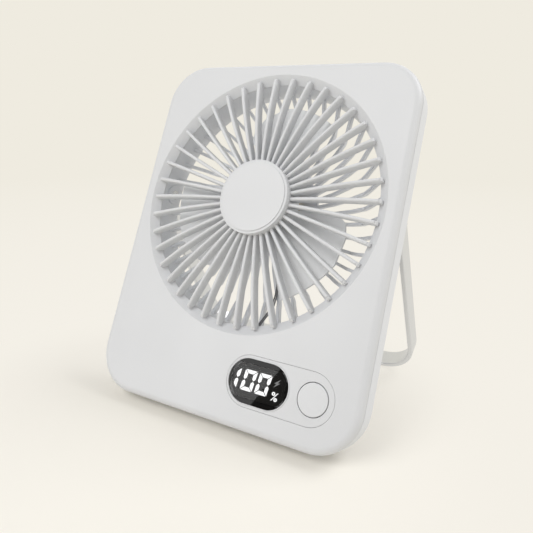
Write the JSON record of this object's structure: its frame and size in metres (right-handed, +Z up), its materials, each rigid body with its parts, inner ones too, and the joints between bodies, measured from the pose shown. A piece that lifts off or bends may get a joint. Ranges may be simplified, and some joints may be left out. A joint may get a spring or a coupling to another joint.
{
  "type": "portable camping fan",
  "caption": "Slim rectangular fan with a round ribbed grille, a pill-shaped display and button panel, and a fold-out U stand.",
  "frame": {"origin": "middle of the footprint's bounding box, on the ground", "axes": "+Z up; -Y is the side that the fan blows to; +X is to the right as seen from the front"},
  "size_m": [0.135, 0.0976, 0.1551],
  "materials": {
    "shell_abs": "fine moulded texture, light grey",
    "cap_abs": "smooth satin, light grey",
    "panel_abs": "fine moulded texture, light grey",
    "button_abs": "smooth satin, light grey",
    "rear_abs": "smooth satin, off-white",
    "lens_smoke": "polished dark acrylic",
    "black_plastic": "moulded black",
    "switch_plastic": "moulded dark grey",
    "led_white": "lit white segments",
    "board_green": "solder mask over glass fibre",
    "chip_epoxy": "black epoxy",
    "ferrite": "sintered ferrite",
    "plated_steel": "nickel plated",
    "cell_foil": "laminated foil pouch",
    "foam": "closed-cell foam pad",
    "lead_red": "silicone insulation",
    "lead_black": "silicone insulation",
    "lead_grey": "silicone insulation",
    "base_brass": "turned",
    "stator_steel": "stacked laminations",
    "winding_copper": "enamelled copper wire",
    "bearing_steel": "ground",
    "screw_steel": "zinc plated",
    "impeller_plastic": "moulded, light grey",
    "can_steel": "drawn steel",
    "magnet_ferrite": "bonded magnet",
    "shaft_steel": "ground and polished",
    "ring_steel": "blued spring steel",
    "stand_aluminium": "light grey paint",
    "strip_rubber": "silicone",
    "pin_steel": "ground",
    "washer_nylon": "moulded nylon"
  },
  "bodies": {
    "housing": {"front_shell": "shell_abs", "hub_cap": "cap_abs", "control_panel": "panel_abs", "display_lens": "lens_smoke", "display_module": "black_plastic", "display_digits": "led_white", "switch_body": "switch_plastic", "main_board": "board_green", "controller_chip": "chip_epoxy", "boost_inductor": "ferrite", "usb_c_socket": "plated_steel", "usb_c_tongue": "black_plastic", "battery_cell": "cell_foil", "battery_foam": "foam", "protection_board": "board_green", "battery_lead_red": "lead_red", "battery_lead_black": "lead_black", "rear_shell": "rear_abs", "motor_base": "base_brass", "motor_board": "board_green", "motor_stator": "stator_steel", "motor_windings": "winding_copper", "motor_bearings": "bearing_steel", "motor_leads": "lead_grey", "motor_screws": "screw_steel", "case_screws": "screw_steel", "board_screws": "screw_steel", "hinge_pins": "pin_steel", "hinge_washers": "washer_nylon"},
    "rotor": {"impeller": "impeller_plastic", "rotor_can": "can_steel", "rotor_magnet": "magnet_ferrite", "motor_shaft": "shaft_steel", "retaining_ring": "ring_steel"},
    "stand": {"stand": "stand_aluminium", "stand_foot_strip": "strip_rubber"},
    "button": {"power_button": "button_abs", "switch_plunger": "black_plastic"}
  },
  "joints": [
    {"name": "impeller_spin", "type": "hinge", "parent": "housing", "child": "rotor", "pos_m": [0, -0.00664, 0.09516], "axis": [0, 0.9009, -0.434], "continuous": true},
    {"name": "stand_hinge", "type": "hinge", "parent": "housing", "child": "stand", "pos_m": [0, 0.00309, 0.09047], "axis": [1, 0, 0], "range_deg": [-51, 0]},
    {"name": "button_press", "type": "slide", "parent": "housing", "child": "button", "axis": [0, 0.9009, -0.434], "range_m": [0, 0.0006], "stiffness_N_per_m": 800}
  ]
}
